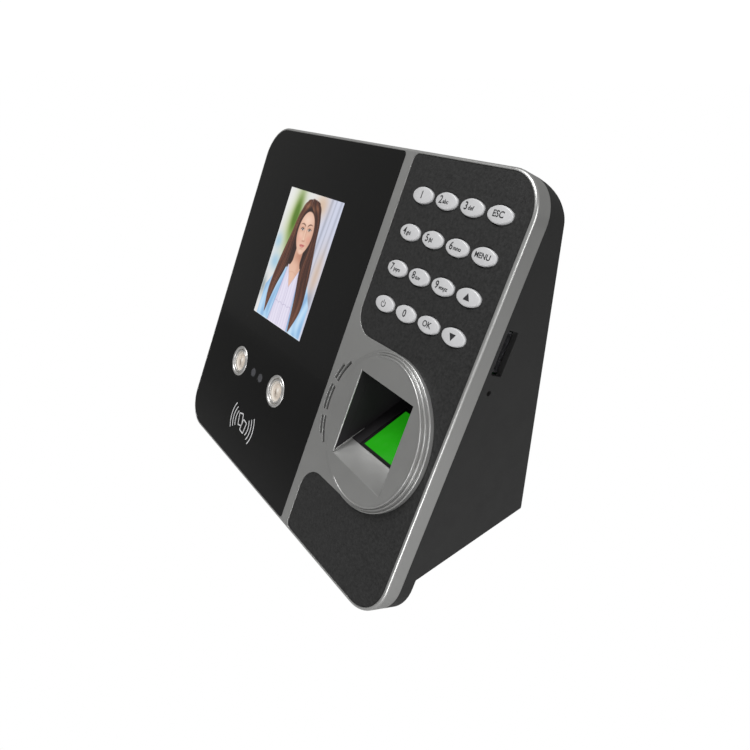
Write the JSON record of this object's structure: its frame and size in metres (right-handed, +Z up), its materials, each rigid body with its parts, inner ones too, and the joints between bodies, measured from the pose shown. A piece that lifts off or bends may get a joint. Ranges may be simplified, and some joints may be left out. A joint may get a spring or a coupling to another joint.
{
  "type": "fingerprint scanner terminal",
  "caption": "Wall-mounted access terminal: sloping face with a finger recess under a raised round collar, leaf-shaped keys, a portrait screen and face lamps, on a wedge-shaped rear case.",
  "frame": {"origin": "middle of the wall-screw pattern, on the wall plane", "axes": "+X right across the face as its user sees it, +Y into the wall, +Z up; the face leans back from the vertical, its foot further from the wall than its top"},
  "size_m": [0.1676, 0.0658, 0.1407],
  "materials": {
    "silver_case": "satin silver paint",
    "gloss_black": "high gloss",
    "screen_window": "clear, printed picture behind",
    "gasket_foam": "matt",
    "display_metal": "satin",
    "grain_grey": "fine grain",
    "key_grey": "satin",
    "silicone": "matt",
    "circuit_board": "solder resist",
    "bright_ring": "polished",
    "cream_cup": "satin",
    "led_lens": "clear",
    "lens_window": "polished",
    "lens_barrel": "black anodised",
    "cup_dark": "satin",
    "seal_black": "matt",
    "green_glass": "polished, lit green from below",
    "optics_case": "matt",
    "speaker_steel": "pressed",
    "speaker_paper": "matt",
    "tinned_steel": "tinned",
    "relay_blue": "moulded",
    "cell_steel": "polished",
    "screw_steel": "zinc plated",
    "battery_wrap": "shrink sleeve",
    "ribbon_film": "amber film",
    "lead_sleeve": "matt",
    "socket_steel": "tinned",
    "switch_black": "matt",
    "button_red": "matt",
    "socket_black": "moulded",
    "terminal_green": "moulded",
    "plunger_white": "matt",
    "shell_dark": "satin",
    "plate_steel": "zinc plated"
  },
  "bodies": {
    "housing": {"front_frame": "silver_case", "gloss_panel": "gloss_black", "display_window": "screen_window", "display_gasket": "gasket_foam", "display_module": "display_metal", "keypad_panel": "grain_grey", "keypad_mat": "silicone", "keypad_board": "circuit_board", "lamp_rings": "bright_ring", "lamp_reflectors": "cream_cup", "lamp_leds": "led_lens", "lamp_board": "circuit_board", "camera_windows": "lens_window", "camera_barrels": "lens_barrel", "reader_cup": "cup_dark", "reader_seal": "seal_black", "reader_glass": "green_glass", "reader_optics": "optics_case", "reader_board": "circuit_board", "speaker_basket": "speaker_steel", "speaker_cone": "speaker_paper", "card_antenna": "circuit_board", "main_board": "circuit_board", "processor_shield": "tinned_steel", "lock_relay": "relay_blue", "coin_cell": "cell_steel", "main_screws": "screw_steel", "backup_battery": "battery_wrap", "display_ribbon": "ribbon_film", "reader_lead": "lead_sleeve", "side_board": "circuit_board", "usb_port": "socket_steel", "reset_switch": "switch_black", "connector_board": "circuit_board", "network_jack": "socket_steel", "power_jack": "socket_black", "terminal_block": "terminal_green", "tamper_switch": "switch_black", "small_screws": "screw_steel", "case_screws": "screw_steel", "rear_shell": "shell_dark", "wall_plate": "plate_steel"},
    "key_1": {"key_1": "key_grey"},
    "key_2": {"key_2": "key_grey"},
    "key_3": {"key_3": "key_grey"},
    "key_escape": {"key_escape": "key_grey"},
    "key_4": {"key_4": "key_grey"},
    "key_5": {"key_5": "key_grey"},
    "key_6": {"key_6": "key_grey"},
    "key_menu": {"key_menu": "key_grey"},
    "key_7": {"key_7": "key_grey"},
    "key_8": {"key_8": "key_grey"},
    "key_9": {"key_9": "key_grey"},
    "key_up": {"key_up": "key_grey"},
    "key_power": {"key_power": "key_grey"},
    "key_0": {"key_0": "key_grey"},
    "key_ok": {"key_ok": "key_grey"},
    "key_down": {"key_down": "key_grey"},
    "reset_button": {"reset_button": "button_red"},
    "tamper_plunger": {"tamper_plunger": "plunger_white"}
  },
  "joints": [
    {"name": "key_1_press", "type": "slide", "parent": "housing", "child": "key_1", "axis": [0, 0.9239, -0.3827], "range_m": [0, 0.0008], "stiffness_N_per_m": 400},
    {"name": "key_2_press", "type": "slide", "parent": "housing", "child": "key_2", "axis": [0, 0.9239, -0.3827], "range_m": [0, 0.0008], "stiffness_N_per_m": 400},
    {"name": "key_3_press", "type": "slide", "parent": "housing", "child": "key_3", "axis": [0, 0.9239, -0.3827], "range_m": [0, 0.0008], "stiffness_N_per_m": 400},
    {"name": "key_escape_press", "type": "slide", "parent": "housing", "child": "key_escape", "axis": [0, 0.9239, -0.3827], "range_m": [0, 0.0008], "stiffness_N_per_m": 400},
    {"name": "key_4_press", "type": "slide", "parent": "housing", "child": "key_4", "axis": [0, 0.9239, -0.3827], "range_m": [0, 0.0008], "stiffness_N_per_m": 400},
    {"name": "key_5_press", "type": "slide", "parent": "housing", "child": "key_5", "axis": [0, 0.9239, -0.3827], "range_m": [0, 0.0008], "stiffness_N_per_m": 400},
    {"name": "key_6_press", "type": "slide", "parent": "housing", "child": "key_6", "axis": [0, 0.9239, -0.3827], "range_m": [0, 0.0008], "stiffness_N_per_m": 400},
    {"name": "key_menu_press", "type": "slide", "parent": "housing", "child": "key_menu", "axis": [0, 0.9239, -0.3827], "range_m": [0, 0.0008], "stiffness_N_per_m": 400},
    {"name": "key_7_press", "type": "slide", "parent": "housing", "child": "key_7", "axis": [0, 0.9239, -0.3827], "range_m": [0, 0.0008], "stiffness_N_per_m": 400},
    {"name": "key_8_press", "type": "slide", "parent": "housing", "child": "key_8", "axis": [0, 0.9239, -0.3827], "range_m": [0, 0.0008], "stiffness_N_per_m": 400},
    {"name": "key_9_press", "type": "slide", "parent": "housing", "child": "key_9", "axis": [0, 0.9239, -0.3827], "range_m": [0, 0.0008], "stiffness_N_per_m": 400},
    {"name": "key_up_press", "type": "slide", "parent": "housing", "child": "key_up", "axis": [0, 0.9239, -0.3827], "range_m": [0, 0.0008], "stiffness_N_per_m": 400},
    {"name": "key_power_press", "type": "slide", "parent": "housing", "child": "key_power", "axis": [0, 0.9239, -0.3827], "range_m": [0, 0.0008], "stiffness_N_per_m": 400},
    {"name": "key_0_press", "type": "slide", "parent": "housing", "child": "key_0", "axis": [0, 0.9239, -0.3827], "range_m": [0, 0.0008], "stiffness_N_per_m": 400},
    {"name": "key_ok_press", "type": "slide", "parent": "housing", "child": "key_ok", "axis": [0, 0.9239, -0.3827], "range_m": [0, 0.0008], "stiffness_N_per_m": 400},
    {"name": "key_down_press", "type": "slide", "parent": "housing", "child": "key_down", "axis": [0, 0.9239, -0.3827], "range_m": [0, 0.0008], "stiffness_N_per_m": 400},
    {"name": "reset_press", "type": "slide", "parent": "housing", "child": "reset_button", "axis": [-1, 0, 0], "range_m": [0, 0.0005], "stiffness_N_per_m": 600},
    {"name": "tamper_press", "type": "slide", "parent": "housing", "child": "tamper_plunger", "axis": [0, -1, 0], "range_m": [0, 0.001], "stiffness_N_per_m": 500}
  ]
}
